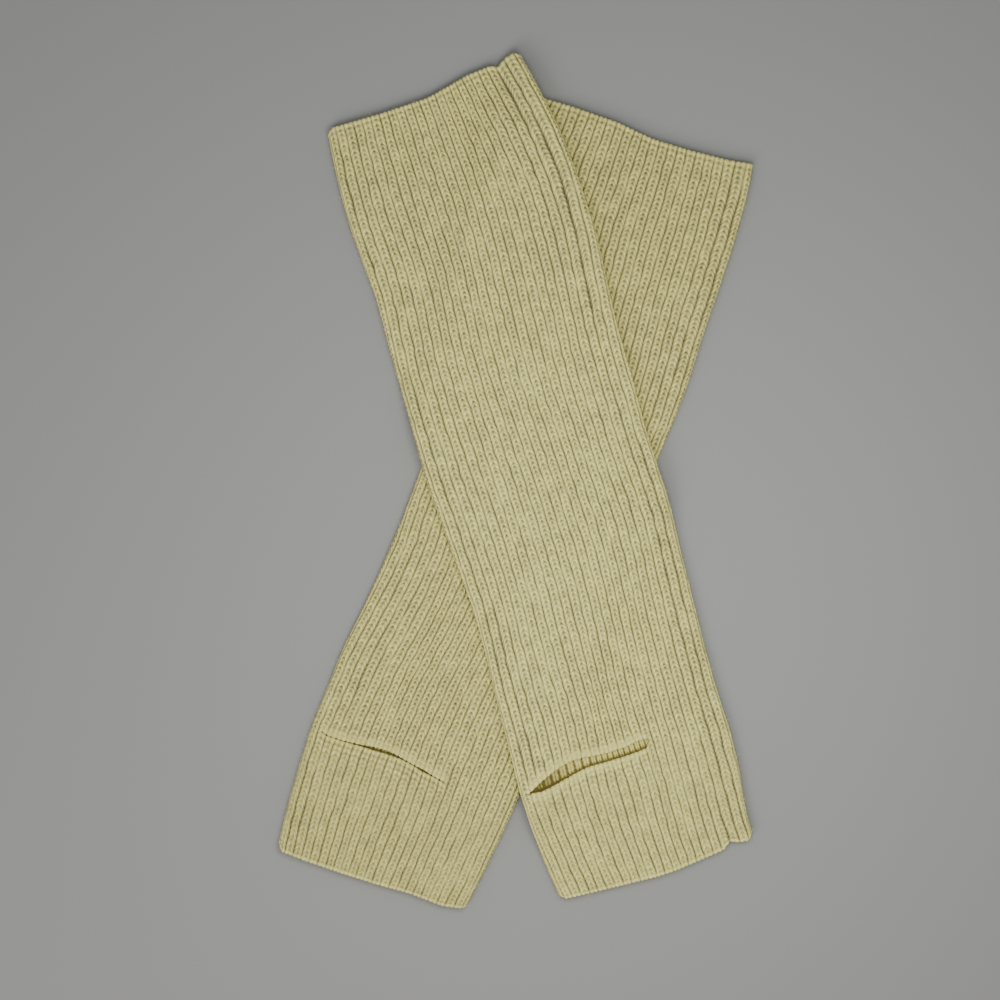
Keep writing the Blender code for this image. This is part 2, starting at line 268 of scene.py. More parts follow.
LOWER_SWAY = (
    (0.000, -0.05, 0.00, -0.05, -0.30, -0.42, -0.40, -0.10),
    (0.030, 0.00, 0.05, 0.00, -0.15, -0.25, -0.30, -0.10),
    (0.058, 0.05, 0.05, 0.00, -0.10, -0.10, -0.20, -0.10),
    (0.085, 0.10, 0.15, 0.20, 0.30, 0.06, -0.10, 0.05),
    (0.129, 0.20, 0.30, 0.40, 0.45, 0.42, 0.18, 0.10),
    (0.149, 0.25, 0.40, 0.50, 0.60, 0.60, 0.50, 0.30),
    (0.200, 0.45, 0.60, 0.70, 0.70, 0.70, 0.50, 0.30),
    (0.243, 0.50, 0.80, 0.80, 0.70, 0.60, 0.40, 0.25),
    (0.257, 0.83, 1.00, 0.90, 0.70, 0.50, 0.35, 0.20),
    (0.286, 0.70, 1.00, 0.70, 0.50, 0.30, 0.20, 0.15),
    (0.315, 0.40, 0.70, 0.40, 0.20, 0.10, 0.05, 0.10),
    (0.358, 0.20, 0.35, 0.00, 0.00, 0.10, 0.00, 0.10),
    (0.396, 0.20, 0.35, 0.20, 0.40, 0.20, 0.10, 0.10),
    (0.431, 0.30, 0.50, 0.20, 0.30, 0.20, 0.30, 0.30),
    (0.450, 0.45, 0.50, 0.30, 0.30, 0.25, 0.30, 0.30),
)
SWAY_REACH = 0.008

# Grooves that gape more than the rest: which one, from where to where along the leg, how much,
# and how much that comes and goes.
UPPER_GAPES = (
    (1, 0.006, 0.100, 0.8, 0.5),
    (2, 0.150, 0.385, 0.7, 0.4),
    (3, 0.240, 0.385, 0.6, 0.4),
    (20, 0.010, 0.120, 0.8, 0.7),
    (20, 0.190, 0.270, 0.6, 0.7),
    (21, 0.000, 0.045, 0.8, 0.0),
    (21, 0.425, 0.456, 0.8, 0.0),
    (22, 0.010, 0.150, 1.0, 0.5),
    (22, 0.190, 0.450, 0.8, 0.4),
    (23, 0.210, 0.450, 0.8, 0.4),
)
LOWER_GAPES = (
    (22, 0.004, 0.150, 0.9, 0.6),
    (21, 0.050, 0.150, 0.5, 0.5),
    (23, 0.012, 0.150, 0.9, 0.6),
    (2, 0.235, 0.300, 0.7, 0.4),
    (3, 0.300, 0.372, 0.6, 0.4),
    (1, 0.390, 0.445, 0.8, 0.4),
    (2, 0.395, 0.440, 0.6, 0.3),
)
GAPE_END = 0.012
GAPE_DEPTH = 0.0006
GAPE_POWER = 1.9
GAPE_SHADE = 0.4

# Each leg warmer: its nominal length, where its top hem's middle lies, how far its axis turns from
# the -Y direction towards +X, the groove that its seam runs in, between which ribs its slit is
# open, how wide the smooth bands above and below it are at its left and right end, how many courses
# lie above and below the slit's line, and its seed.
LEGS = {
    "upper": {
        "length": 0.450,
        "top_middle": (-0.05099, 0.21486),
        "turn": np.radians(16.6),
        "seam_groove": 21,
        "slit_ribs": (1.5, 15.75),
        "bands_above": (0.0054, 0.0046),
        "bands_below": (0.0058, 0.0030),
        "courses_above": 138,
        "courses_below": 25,
        "sections": UPPER_SECTIONS,
        "hems": UPPER_HEMS,
        "slit": UPPER_SLIT,
        "sway": UPPER_SWAY,
        "gapes": UPPER_GAPES,
        "seed": 1,
    },
    "lower": {
        "length": 0.4425,
        "top_middle": (0.07231, 0.19516),
        "turn": np.radians(-20.05),
        "seam_groove": None,
        "slit_ribs": (1.1, 16.0),
        "bands_above": (0.0044, 0.0054),
        "bands_below": (0.0014, 0.0014),
        "courses_above": 136,
        "courses_below": 25,
        "sections": LOWER_SECTIONS,
        "hems": LOWER_HEMS,
        "slit": LOWER_SLIT,
        "sway": LOWER_SWAY,
        "gapes": LOWER_GAPES,
        "seed": 2,
    },
}

# Each piece of a leg: its name, its leg, its first and last course, and the solids it stands for.
PIECES = (
    ("upper_top", "upper", 0, 62, ("upper_front", "upper_back")),
    ("upper_calf", "upper", 62, 125, ("upper_front", "upper_back")),
    ("upper_heel", "upper", 125, 163, ("upper_front_heel", "upper_back_heel")),
    ("lower_top", "lower", 0, 62, ("lower_front", "lower_back")),
    ("lower_calf", "lower", 62, 124, ("lower_front", "lower_back")),
    ("lower_heel", "lower", 124, 161, ("lower_front", "lower_back")),
)

# The patch of the back's inside that shows through a slit: its courses, its ribs, which are
# narrower than the front's and get narrower still past the turn, and how high they stand under
# the lips and between them.
INSIDE_REACH = 5
INSIDE_RIB = 0.88
INSIDE_TURN = 9.0
INSIDE_NARROWING = 0.48
INSIDE_LINES = 12
INSIDE_STEP = 0.16
HIDDEN_STEP = 0.5
INSIDE_BASE = 0.00275
INSIDE_THICKNESS = 0.0006
INSIDE_CLEARANCE = 0.0001
INSIDE_RELIEF = 0.00035
INSIDE_BULGE = 0.0015
INSIDE_POWER = 2.2
SPLIT_DEPTH = 0.42
SPLIT_REACH = 0.2
INSIDE_FURROW = 0.12
INSIDE_DROP = 1.2

# Where the patch starts to bulge, before the slit's upper lip, and where it ends, before the lower
# one: how far off the lip that is, and over what length it changes.
BULGE_START = (0.0007, 0.0008)
BULGE_END = (0.0003, 0.0024)

# The patch's painted shade: all over, in its grooves, deepest by the slit's left tip, and as the lower
# lip's painted shadow along that lip.
INSIDE_SHADE = 0.14
INSIDE_GROOVE_SHADE = 1.2
INSIDE_TIP_SHADE = 0.6
INSIDE_TIP_RIBS = 6.0
INSIDE_LIP_SHADE = 0.7
INSIDE_LIP_REACH = (0.0005, 0.0032)

# Loose fibres that stand off the yarn: their first and last rib, their first and last course, and
# how many. Below 0, a course is counted back from the foot hem. Along the slit, they are between its
# ends, and their courses are counted from its line.
FIBRES = (
    (-0.9, 0.4, 2.0, -2.0, 620),
    (23.6, 24.9, 2.0, -2.0, 620),
    (0.2, 23.8, 0.2, 1.4, 260),
    (0.2, 23.8, -1.4, -0.2, 260),
    (0.5, 23.5, 1.5, -1.5, 500),
)
SLIT_FIBRES = ((-2.2, 0.0, 260), (0.0, 1.6, 160))
FIBRE_LENGTH = (0.0012, 0.0034)
FIBRE_RADIUS = 0.000035
FIBRE_STEPS = 3
FIBRE_SIDES = 3
FIBRE_ROOT = 0.05
FIBRE_TAPER = 0.5
FIBRE_BEND = 0.5
FIBRE_SKEW = 0.1
ASIDE_RIBS = 0.3

# The least and the most that a fibre heads outward, to the right and towards the foot.
FIBRE_HEADING = ((0.25, -1.0, -1.0), (1.0, 1.0, 1.0))

# How dark the plain parts are: a leg's lining, a patch's underside and the fibres.
LINING_SHADE = 0.4
PATCH_BACK_SHADE = 0.5
FIBRE_SHADE = 0.1

# Colours are linear. The camera looks straight down on a middle that lies a little off the origin.
CREST_COLOUR = {"upper": (0.91, 0.842, 0.285), "lower": (0.825, 0.757, 0.259)}
# The painted shade colour that the yarn darkens to in grooves, pits and furrows.
PAINTED_SHADE_COLOUR = {"upper": (0.122, 0.113, 0.060), "lower": (0.104, 0.095, 0.045)}
# The inside's painted shade colour: a dark golden olive for the shade under the slit's lips.
INSIDE_PAINTED_SHADE_COLOUR = (0.135, 0.104, 0.018)
PALE_TINT = (1.12, 1.12, 1.17)
YELLOW_TINT = (0.88, 0.88, 0.79)
FLOOR_COLOUR = (0.242, 0.244, 0.238)
FRAME_WIDTH = 0.5568
FRAME_MIDDLE = (-0.00896, -0.01178)
CAMERA_HEIGHT = 1.60
SENSOR_WIDTH = 36.0
FLOOR_SIZE = 24.0
FLOOR_DROP = 0.0002
SKY_COLOUR = (0.97, 0.985, 1.0)
SKY_STRENGTH = 0.60
LIGHT_COLOUR = (1.0, 0.985, 0.95)

# Each light: its name, where it is, what it points at, its size and its power in watts.
LIGHTS = (
    ("key", (-0.54, -0.90, 0.90), (0.0, -0.05, 0), 0.7, 9.2),
    ("top", (0.07, -0.04, 0.43), (0.06, -0.04, 0), 0.25, 1.45),
)


def read_table(leg, table, column, places):
    """Read a column of a leg's table at the given places of the table's first column."""
    rows = np.array(leg[table])
    return np.interp(places, rows[:, 0], rows[:, COLUMNS[table].index(column)])


def read_softly(leg, table, column, places, reach):
    """Read a column with its corners rounded off over the reach on each side."""
    steps = np.linspace(-reach, reach, 5)
    return sum(read_table(leg, table, column, places + step) for step in steps) / len(steps)


def ease(amount):
    """Go smoothly from 0 to 1."""
    amount = np.clip(amount, 0.0, 1.0)
    return amount * amount * (3.0 - 2.0 * amount)


def to_world(leg, along, across):
    """Turn places on a leg into X and Y."""
    turn = leg["turn"]
    x = leg["top_middle"][0] + along * np.sin(turn) + across * np.cos(turn)
    y = leg["top_middle"][1] - along * np.cos(turn) + across * np.sin(turn)
    return x, y


def to_leg(leg, x, y):
    """Turn X and Y into places on a leg."""
    turn = leg["turn"]
    dx = x - leg["top_middle"][0]
    dy = y - leg["top_middle"][1]
    return dx * np.sin(turn) - dy * np.cos(turn), dx * np.cos(turn) + dy * np.sin(turn)


def leg_direction(leg):
    """The way from a leg's top hem to its foot."""
    return np.array([np.sin(leg["turn"]), -np.cos(leg["turn"]), 0.0])


def course_count(leg):
    """How many courses a leg has."""
    return leg["courses_above"] + leg["courses_below"]


def lift_over_lower_leg(x, y):
    """The height of the upper leg's underside: full on the lower leg, none away from it."""
    lower = LEGS["lower"]
    along, across = to_leg(lower, x, y)
    left = read_softly(lower, "sections", "left", along, LIFT_SOFTNESS)
    right = read_softly(lower, "sections", "right", along, LIFT_SOFTNESS)
    outside = np.maximum.reduce([left - across, across - right, -along, along - lower["length"]])
    slope = ease((outside - FULL_LIFT_REACH) / SLOPE_WIDTH)
    return (LEG_HEIGHT + REST_GAP) * (1.0 - slope)


def face_shape(width, ribs, depth):
    """A leg's upper face, from the middle of its left fold to the middle of its right one.

    Returns how far from the left edge and how high each place is. Relief is lower on the folds.
    """
    quarter = FOLD_RADIUS * np.pi / 2
    whole = width - 2 * FOLD_RADIUS + 2 * quarter
    path = ribs / RIBS * whole
    from_left = np.clip(path, 0.0, quarter) / FOLD_RADIUS
    from_right = np.clip(whole - path, 0.0, quarter) / FOLD_RADIUS
    angle = np.minimum(from_left, from_right)
    fold = 1.0 - angle / (np.pi / 2)
    side = np.where(from_left < from_right, -1.0, 1.0)
    flat = np.clip(path - quarter, 0.0, width - 2 * FOLD_RADIUS)
    radius = FOLD_RADIUS - depth * (1.0 - FOLD_FLATTENING * fold)
    across = FOLD_RADIUS + flat + side * radius * np.cos(angle)
    return across, FOLD_RADIUS + radius * np.sin(angle)


def ring_shape(width, places, depth):
    """The tube's whole outer side: the upper face and, past rib 24, the underside."""
    places = places % (2 * RIBS)
    under = places > RIBS
    across, height = face_shape(width, np.where(under, 2 * RIBS - places, places), depth)
    return across, np.where(under, LEG_HEIGHT - height, height)


def inner_shape(width, places):
    """The tube's plain inside, which closes to a line at each fold."""
    places = places % (2 * RIBS)
    under = places > RIBS
    ribs = np.where(under, 2 * RIBS - places, places)
    across, _ = face_shape(width, ribs, np.zeros(ribs.shape))
    room = (LEG_HEIGHT / 2 - WALL) * np.clip(np.minimum(ribs, RIBS - ribs), 0.0, 1.0)
    height = FOLD_RADIUS + np.where(under, -room, room)
    return np.clip(across, WALL, width - WALL), height


def leg_chance(leg, series):
    """The source of one of a leg's random series."""
    return np.random.default_rng(SEED * leg["seed"] + SERIES[series])


def leg_waves(leg, series):
    """Random values from -1 to 1, one for each rib of the tube at each course and a few past them."""
    return leg_chance(leg, series).uniform(-1.0, 1.0, (course_count(leg) + 3, 2 * RIBS))


def read_waves(waves, rows, columns):
    """Read the waves at rows, smoothly, and between two ribs at columns, evenly."""
    rows = np.clip(rows, 0.0, len(waves) - 1.001)
    first = np.floor(rows).astype(int)
    part = ease(rows - first)
    columns = columns % waves.shape[1]
    left = np.floor(columns).astype(int)
    right = (left + 1) % waves.shape[1]
    share = columns - left
    above = waves[first, left] * (1 - share) + waves[first, right] * share
    below = waves[first + 1, left] * (1 - share) + waves[first + 1, right] * share
    return above * (1 - part) + below * part


def open_share(leg, ribs):
    """How fully the slit is open at each rib: nothing outside it and at its tips."""
    first, last = leg["slit_ribs"]
    return ease((ribs - first) / TIP_RIBS) * ease((last - ribs) / TIP_RIBS)


def lips(leg, places):
    """How far along the leg the slit's two lips are."""
    upper_lip = read_softly(leg, "slit", "upper_lip", places, LIP_SOFTNESS)
    lower_lip = read_softly(leg, "slit", "lower_lip", places, LIP_SOFTNESS)
    overhang = read_softly(leg, "slit", "overhang", places, LIP_SOFTNESS)
    return upper_lip + overhang, lower_lip


def along_leg(leg, places, ribs, courses, below):
    """How far along the leg each course is. Below the slit's line the lower lip sets it."""
    places = RIBS - abs(RIBS - places % (2 * RIBS))
    top = read_softly(leg, "hems", "top", places, HEM_SOFTNESS)
    foot = leg["length"] + read_softly(leg, "hems", "foot", places, HEM_SOFTNESS)
    upper_lip, lower_lip = lips(leg, places)
    start = upper_lip + (lower_lip - upper_lip) * open_share(leg, ribs) * below
    above_share = courses / leg["courses_above"]
    below_share = (courses - leg["courses_above"]) / leg["courses_below"]
    above = top + (upper_lip - top) * above_share
    return np.where(below_share > 0, start + (foot - start) * below_share,
                    np.where(below > 0, start, above))


def rib_places(leg, ribs, along):
    """Where each rib is round the tube, in rib widths, once it has slid and wandered."""
    columns = COLUMNS["sway"][1:]
    knots = np.array((-2, *columns, RIBS + 1, 2 * RIBS - 2, 2 * RIBS + 2), dtype=float)
    columns = (columns[0], *columns, columns[-1], columns[0], columns[0])
    sway = 0.0
    for number, column in enumerate(columns):
        weight = np.interp(ribs, knots, np.eye(len(knots))[number])
        sway = sway + weight * read_softly(leg, "sway", column, along, SWAY_REACH)
    return ribs + sway


def groove_gape(leg, groove, along, waves):
    """How much more than usual a groove gapes, from 0 to 1."""
    gape = np.zeros(along.shape)
    for number, start, end, most, broken in leg["gapes"]:
        share = ease((along - start) / GAPE_END) * ease((end - along) / GAPE_END)
        part = 1.0 - broken * (0.5 + 0.5 * waves)
        gape = np.maximum(gape, np.where(groove == number, share * part * most, 0.0))
    return gape


def edge_rounding(distance, radius):
    """How far the outer side turns down at this distance from an edge."""
    missing = np.clip(radius - distance, 0.0, radius)
    return radius - np.sqrt(radius ** 2 - missing ** 2)


def beside_middle(ribs):
    """How far each place is from its rib's middle: -1 at the left edge, 1 at the right one."""
    return 2.0 * (ribs - np.floor(ribs)) - 1.0


def course_swell(courses):
    """How far each place is up its stitch's round swell: 0 between two courses, 1 amid one."""
    return np.sin(np.pi * (courses - np.floor(courses)))


def foot_share(leg, courses):
    """How far each course has gone over from the leg's looks to the foot's."""
    return ease((courses - leg["courses_above"]) / FOOT_COURSES)


def slanted_courses(leg, ribs, courses):
    """How far strands drop at each place, in courses, and the uneven course that it then is on.

    Strands slant, but straighten out at the hems and along the slit's lips.
    """
    near = abs(beside_middle(ribs))
    to_line = abs(courses - leg["courses_above"])
    to_end = np.minimum(courses, course_count(leg) - courses)
    straight = open_share(leg, ribs) * (1.0 - ease(to_line / LIP_COURSES))
    slant = ease(to_end / SLANT_COURSES) * (1.0 - straight)
    drop = STRAND_DROP * near ** STRAND_BOW
    waves = leg_waves(leg, "slant")
    uneven = COURSE_UNEVENNESS * read_waves(waves, courses, np.floor(ribs)) * (1 - near ** 2)
    return slant * drop, courses + slant * (drop + uneven)


def wandered_places(leg, ribs, courses, shifted):
    """Where each rib is round the tube, once it has slid and wandered."""
    places = rib_places(leg, ribs, leg["length"] * shifted / course_count(leg))
    waves = read_waves(leg_waves(leg, "wander"), courses / WANDER_COURSES, ribs)
    return places + RIB_WANDER * waves


def rib_relief(leg, ribs, courses, along, rib_depth):
    """A rib's round crest, which swells with each stitch, and the groove on each side of it.

    Returns how deep each place is, its painted shade, darker still in gaping grooves, and how high up
    the crest.
    """
    near = abs(beside_middle(ribs))
    groove = np.round(ribs) % (2 * RIBS)
    spots = read_waves(leg_waves(leg, "gape"), courses, groove)
    slow = read_waves(leg_waves(leg, "groove"), courses / GROOVE_COURSES, groove)
    gape = groove_gape(leg, groove, along, spots)
    power = CREST_POWER[0] + CREST_POWER[1] * course_swell(courses) ** ROUNDNESS
    crest = (1.0 - near ** (power - GAPE_POWER * gape)) ** ROUNDNESS
    in_seam = (groove == leg["seam_groove"]) * ease((SEAM_REACH - abs(ribs - groove)) / SEAM_REACH)
    deep = rib_depth * (1.0 + GROOVE_UNEVENNESS * slow) + GAPE_DEPTH * gape + SEAM_DEPTH * in_seam
    shade = 1.0 + GROOVE_UNEVENNESS * slow + GAPE_SHADE * gape
    return deep * (1.0 - crest), GROOVE_SHADE * (1.0 - crest) * shade, crest


def stitch_pits(leg, ribs, level):
    """The pit under each stitch's tip, of uneven strength and a little astray."""
    rib = np.floor(ribs).astype(int) % (2 * RIBS)
    nearest = np.maximum(np.round(level), 0).astype(int)
    strong = leg_waves(leg, "pit")[nearest, rib]
    astray = PIT_ASTRAY * leg_waves(leg, "astray")[nearest, rib]
    across = (beside_middle(ribs) - astray) / PIT_REACH
    down = (level - nearest + astray) / PIT_SPAN
    return np.exp(-across ** 2 - down ** 2) * np.interp(strong, (-1.0, 1.0), PIT_RANGE)


def add_stitches(leg, ribs, courses, dropped, crest, depth, painted_shade_and_tone):
    """Add the stitches to how deep each place of a rib is, and to its painted shade and uneven tone."""
    near = abs(beside_middle(ribs))
    swell = course_swell(courses)
    rise = swell ** ROUNDNESS
    rib = np.floor(ribs).astype(int) % (2 * RIBS)
    stitch = leg_waves(leg, "strand")[np.floor(courses).astype(int), rib]
    pit = stitch_pits(leg, ribs, courses + dropped - PIT_PHASE)
    pit = pit * (1.0 - (1.0 - FOOT_PITS) * foot_share(leg, courses))
    furrow = (1.0 - rise) * (1.0 - ease((near - FURROW_REACH[0]) / FURROW_REACH[1]))
    strand = STRAND_HEIGHT * (1.0 + STITCH_UNEVENNESS * stitch)
    relief = strand * (furrow - STITCH_UNEVENNESS * stitch * rise * crest)
    middle = np.exp(-(near / MIDDLE_REACH) ** 2)
    arm = np.exp(-((near - ARM_PLACE) / ARM_REACH) ** 2) * swell
    depth = depth + relief + MIDDLE_DIP * middle + PIT_DEPTH * pit
    # Painted shade in pits, furrows and the rib's middle; a painted highlight on the arms.
    painted_shade_and_tone = painted_shade_and_tone + PIT_SHADE * pit + MIDDLE_SHADE * middle + PAINTED_ARM_HIGHLIGHT * (1.0 - arm) * crest
    return depth, painted_shade_and_tone + FURROW_SHADE * furrow + STITCH_SHADE * (1.0 - stitch)


def finish_edges(leg, ribs, shifted, below, along, depth, painted_shade_and_tone):
    """Smooth the hems and the slit's lips, round them over and scallop them."""
    total = course_count(leg)
    course_height = leg["length"] / total
    opened = open_share(leg, ribs)
    from_hem = np.minimum(shifted, total - shifted) * course_height
    from_lip = abs(shifted - leg["courses_above"]) * course_height
    band = np.where(below > 0, np.interp(ribs, leg["slit_ribs"], leg["bands_below"]),
                    np.interp(ribs, leg["slit_ribs"], leg["bands_above"]))
    hem = 1.0 - ease((from_hem - HEM_FADE * HEM_BAND) / HEM_BAND)
    lip = opened * (1.0 - ease((from_lip - LIP_FADE * band) / band))
    roll = 1.0 - ease((from_lip - ROLL_FADE * band) / band)
    loops = abs(np.sin(2 * np.pi * ribs)) ** ROUNDNESS

    depth = np.minimum(depth, DEEPEST)
    depth = depth * (1.0 - LIP_FLATTENING * lip) * (1.0 - HEM_FLATTENING * hem)
    depth = depth - np.where(below > 0, LOWER_LIP_ROLL, 1.0) * LIP_ROLL * opened * roll
    depth = depth + edge_rounding(from_hem, EDGE_ROUND)
    depth = depth + opened * edge_rounding(from_lip, LIP_ROUND)
    # Less painted groove shade on the smooth bands; the lip bands darker, with painted shade between
    # loops.
    painted_shade_and_tone = painted_shade_and_tone * (1.0 - LIP_PALER * lip) * (1.0 - HEM_PALER * hem)
    painted_shade_and_tone = painted_shade_and_tone + (LIP_SHADE + LOOP_SHADE * (1.0 - loops)) * lip

    outward = np.where(shifted < total / 2, -1.0, 1.0)
    inward = np.where(below > 0, -1.0, 1.0)
    at_lip = opened * (1.0 - ease(from_lip / LIP_SCALLOP_REACH))
    along = along + outward * SCALLOP * hem * (loops - 0.5)
    along = along + inward * LIP_SCALLOP * at_lip * (loops - 0.5)
    return along, depth, painted_shade_and_tone


def cloth(name, ribs, courses, below, knit):
    """The outer side of a leg at the given ribs and courses.

    With knit, it has raised stitches, otherwise just ribs. Returns world points, and each
    place's painted shade and tone, from 0 on a strand to 1 deep in a groove.
    """
    leg = LEGS[name]
    dropped, shifted = slanted_courses(leg, ribs, courses)
    places = wandered_places(leg, ribs, courses, shifted)
    along = along_leg(leg, places, ribs, shifted, below)
    rib_depth = RIB_DEPTH if knit else UNDERSIDE_DEPTH
    depth, painted_shade_and_tone, crest = rib_relief(leg, ribs, courses, along, rib_depth)
    if knit:
        depth, painted_shade_and_tone = add_stitches(leg, ribs, courses, dropped, crest, depth, painted_shade_and_tone)
    # On the foot the painted shade shows less, and the colour is a little darker.
    foot = foot_share(leg, courses)
    painted_shade_and_tone = painted_shade_and_tone * (1.0 - (1.0 - FOOT_CONTRAST) * foot) + FOOT_SHADE * foot
    along, depth, painted_shade_and_tone = finish_edges(leg, ribs, shifted, below, along, depth, painted_shade_and_tone)
    points = place_on_leg(name, along, places, lambda width: ring_shape(width, places, depth))
    return points, np.clip(painted_shade_and_tone, 0.0, 1.0)


def lining(name, ribs, courses, below):
    """The plain inner side of a leg, set back a little from the hems and lips."""
    leg = LEGS[name]
    total = course_count(leg)
    places = rib_places(leg, ribs, leg["length"] * courses / total)
    along = along_leg(leg, places, ribs, courses, below)
    along = along + INNER_SETBACK * (courses == 0) - INNER_SETBACK * (courses == total)
    return place_on_leg(name, along, places, lambda width: inner_shape(width, places))


def place_on_leg(name, along, places, shape):
    """Turn places on a leg into world points. The upper leg is lifted over the lower one."""
    leg = LEGS[name]
    left = read_softly(leg, "sections", "left", along, EDGE_SOFTNESS)
    right = read_softly(leg, "sections", "right", along, EDGE_SOFTNESS)
    across, height = shape(right - left)
    x, y = to_world(leg, along, left + across)
    lift = lift_over_lower_leg(x, y) if name == "upper" else 0.0
    return np.stack([x, y, height + lift], axis=-1)


def course_lines(leg, first, last, parts):
    """The courses that a piece has lines at, and whether each is below the slit's line.

    The slit's line comes twice: as the upper lip's and as the lower lip's.
    """
    lines = [course + part for course in range(first, last) for part in parts] + [last]
    line = leg["courses_above"]
    if not first < line < last:
        return np.array(lines, dtype=float), np.full(len(lines), first >= line, dtype=float)
    above = [course for course in lines if course <= line]
    under = [course for course in lines if course >= line]
    courses = np.array(above + under, dtype=float)
    return courses, np.array([0.0] * len(above) + [1.0] * len(under))


def number_points(start, rows, columns, lip_row, shared):
    """Number a grid's points. Where the slit isn't open, its two lines have the same points."""
    numbers = start + np.arange(rows * columns).reshape(rows, columns)
    if lip_row is not None:
        numbers[lip_row + 1, shared] = numbers[lip_row, shared]
    return numbers


def grid_quads(numbers, lip_row, inward=False):
    """Quads over a grid of point numbers, but none across the slit."""
    rows = [row for row in range(len(numbers) - 1) if row != lip_row]
    one = numbers[rows]
    two = numbers[[row + 1 for row in rows]]
    quads = np.stack([one[:, :-1], two[:, :-1], two[:, 1:], one[:, 1:]], axis=-1).reshape(-1, 4)
    return quads[:, ::-1] if inward else quads


def zip_lines(first, first_places, second, second_places, flip=False):
    """Triangles between two lines of points, each stepping on where its next place is nearer."""
    faces = []
    one = 0
    two = 0
    while one < len(first) - 1 or two < len(second) - 1:
        more_one = one < len(first) - 1
        more_two = two < len(second) - 1
        if more_one and (not more_two or first_places[one + 1] <= second_places[two + 1]):
            faces.append((first[one], first[one + 1], second[two]))
            one += 1
        else:
            faces.append((first[one], second[two + 1], second[two]))
            two += 1
    faces = np.array(faces)
    return faces[:, ::-1] if flip else faces


def upper_lip_row(leg, first, last, courses):
    """Which of a piece's lines is the upper lip, or None when the slit isn't in the piece."""
    line = leg["courses_above"]
    return int(np.argmax(courses == line)) if first < line < last else None


def without_lower_lip(lines, lip_row):
    """Leave out the lower lip's line, as past the slit's ends the upper lip's stands for both."""
    return lines if lip_row is None else np.delete(lines, lip_row + 1, axis=0)


def rib_lines(leg):
    """The ribs that a leg has lines at: finely on its face, plainly under it, and on its inside."""
    fine = np.array([rib + part for rib in range(-2, RIBS + 2) for part in RIB_LINES])
    fine = fine[(fine >= -FINE_REACH) & (fine <= RIBS + FINE_REACH)]
    plain = np.array([rib + part for rib in range(RIBS, 2 * RIBS) for part in UNDERSIDE_LINES])
    plain = plain[(plain > RIBS + FINE_REACH) & (plain < 2 * RIBS - FINE_REACH)]
    inner = np.array(sorted({*range(2 * RIBS + 1), *leg["slit_ribs"]}), dtype=float)
    return fine, plain, inner


def every_place(ribs, courses, below):
    """Each rib at each course, and whether it is below the slit's line."""
    courses, ribs = np.meshgrid(courses, ribs, indexing="ij")
    return ribs, courses, below[:, None] + 0 * courses


def not_parted(leg, ribs):
    """Which ribs the slit doesn't part. At its two ends it doesn't."""
    first, last = leg["slit_ribs"]
    return (ribs <= first) | (ribs >= last)


def join_end(leg, fine, plain, inner, flip):
    """Triangles round one end of a piece, from the outer side to the inner one."""
    fine_ribs, plain_ribs, inner_ribs = rib_lines(leg)
    ring = np.concatenate([fine, plain, fine[:1]])
    ring_ribs = np.concatenate([fine_ribs, plain_ribs, [2 * RIBS - FINE_REACH]])
    start = int(np.argmax(ring_ribs >= 0))
    turned = np.concatenate([ring[start:-1], ring[:start + 1]])
    turned_ribs = np.concatenate([ring_ribs[start:-1], ring_ribs[:start + 1] + 2 * RIBS])
    return zip_lines(turned, turned_ribs, inner, inner_ribs, flip)


def join_lip(leg, fine, inner, flip):
    """Triangles along one of the slit's lips, from the outer side to the inner one."""
    first, last = leg["slit_ribs"]
    fine_ribs, _, inner_ribs = rib_lines(leg)
    in_fine = (fine_ribs >= first) & (fine_ribs <= last)
    in_inner = (inner_ribs >= first) & (inner_ribs <= last)
    return zip_lines(fine[in_fine], fine_ribs[in_fine], inner[in_inner], inner_ribs[in_inner], flip)


def join_parts(fine, fine_courses, plain, plain_courses):
    """Triangles between the fine part and the plain one, down the right side and the left one."""
    return [zip_lines(fine[:, -1], fine_courses, plain[:, 0], plain_courses),
            zip_lines(plain[:, -1], plain_courses, fine[:, 0], fine_courses)]


